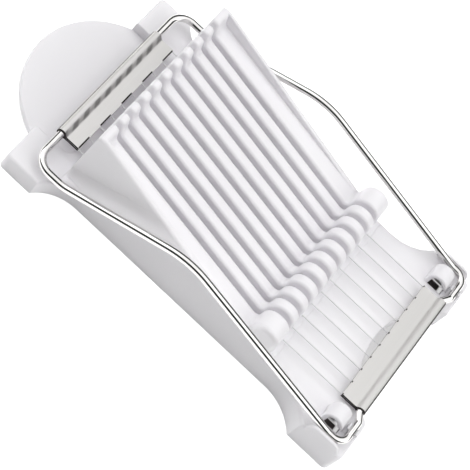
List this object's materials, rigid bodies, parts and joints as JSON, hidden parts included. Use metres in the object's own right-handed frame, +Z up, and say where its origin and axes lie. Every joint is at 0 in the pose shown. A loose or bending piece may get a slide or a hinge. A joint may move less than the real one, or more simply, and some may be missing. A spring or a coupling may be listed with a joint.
{
  "type": "egg slicer",
  "caption": "Tabletop wire slicer with a ribbed moulded cradle, grip tab and hinged rod frame of taut wires that swings down through slots to cut eggs or soft loaves evenly.",
  "frame": {"origin": "on the table plane, under the middle of the overall length and width, cutting frame closed", "axes": "+X along the object towards the hinge end, +Y across it, +Z up"},
  "size_m": [0.213, 0.118, 0.0486],
  "materials": {
    "plastic": "glossy white, faint cool tint",
    "rod": "polished round stainless rod",
    "strip": "satin folded sheet",
    "wire": "drawn wire"
  },
  "bodies": {
    "base": {"body": "plastic"},
    "cutting_frame": {"frame_rod": "rod", "handle_strip": "strip", "hinge_strip": "strip", "wire_01": "wire", "wire_02": "wire", "wire_03": "wire", "wire_04": "wire", "wire_05": "wire", "wire_06": "wire", "wire_07": "wire", "wire_08": "wire", "wire_09": "wire", "wire_10": "wire"}
  },
  "joints": [
    {"name": "frame_hinge", "type": "hinge", "parent": "base", "child": "cutting_frame", "pos_m": [0.102, 0, 0.0172], "axis": [0, 1, 0], "range_deg": [0, 105]}
  ]
}
